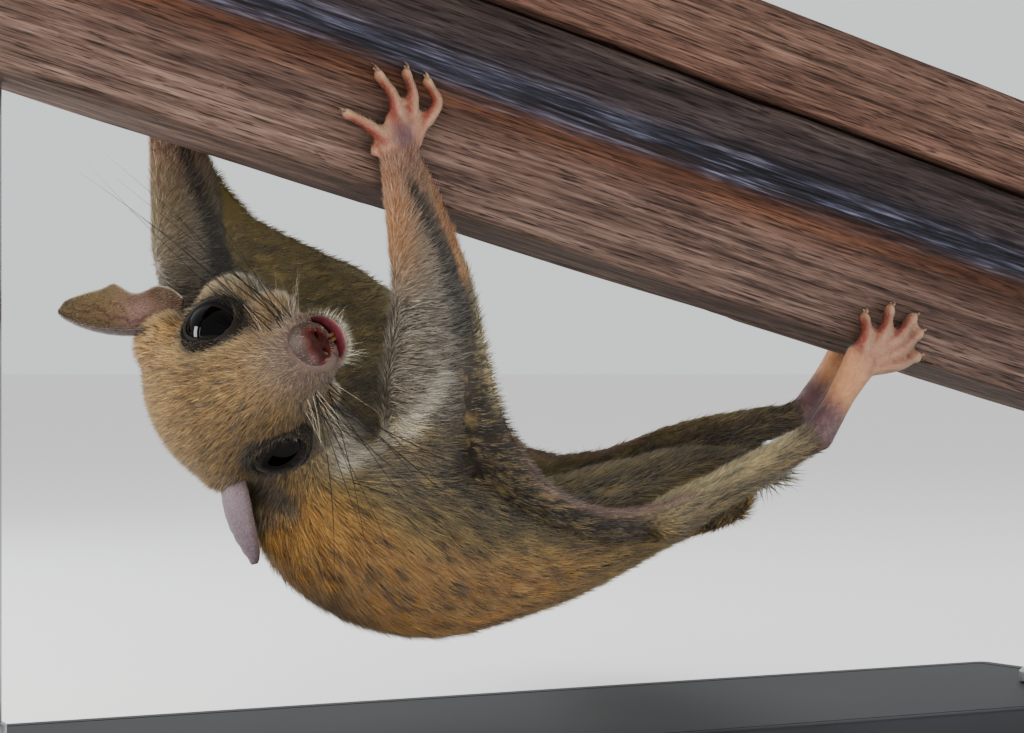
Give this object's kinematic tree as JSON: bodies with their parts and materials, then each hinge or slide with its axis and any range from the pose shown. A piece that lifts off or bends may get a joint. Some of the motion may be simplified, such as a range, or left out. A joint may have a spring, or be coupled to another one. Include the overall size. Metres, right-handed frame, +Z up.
{
  "type": "flying squirrel display model",
  "caption": "Life-size flying squirrel clinging belly up under a sloping cut length of timber, on a plain flat base with short rods.",
  "frame": {"origin": "centre of the display base's underside, on the surface it stands on", "axes": "+X along the timber from the animal's head end to its tail end, +Y to the animal's left side and the tail's tip, +Z up"},
  "size_m": [0.296, 0.1805, 0.1969],
  "materials": {
    "fur_orange": "short dense fur, orange tan with dark ticking",
    "fur_grey": "short dense fur, grey buff with pale ticking",
    "fur_pale": "short fur, pale buff",
    "skin_pink": "bare skin, slightly moist",
    "skin_ear": "thin bare skin with fine hairs",
    "eye": "glossy black",
    "tooth": "orange enamel",
    "old_timber": "weathered, dark reddish brown",
    "plank": "weathered, reddish brown",
    "stand_board": "painted satin black",
    "stand_rod": "satin"
  },
  "bodies": {
    "root": {"head": "fur_orange", "neck": "fur_grey", "chest": "fur_orange", "belly": "fur_orange", "rump": "fur_orange", "left_upper_arm": "fur_grey", "right_upper_arm": "fur_grey", "left_forearm": "fur_pale", "right_forearm": "fur_pale", "left_hand": "skin_pink", "right_hand": "skin_pink", "left_thigh": "fur_grey", "right_thigh": "fur_grey", "left_shank": "fur_grey", "right_shank": "fur_grey", "left_foot": "skin_pink", "right_foot": "skin_pink", "left_membrane": "fur_grey", "right_membrane": "fur_grey", "tail_1": "fur_grey", "tail_2": "fur_grey", "tail_3": "fur_grey", "tail_4": "fur_grey", "left_ear": "skin_ear", "right_ear": "skin_ear", "left_eye": "eye", "right_eye": "eye", "incisors": "tooth", "perch_beam": "old_timber", "perch_plank": "plank", "stand_base": "stand_board", "stand_rod_head": "stand_rod", "stand_rod_tail": "stand_rod"}
  },
  "joints": []
}
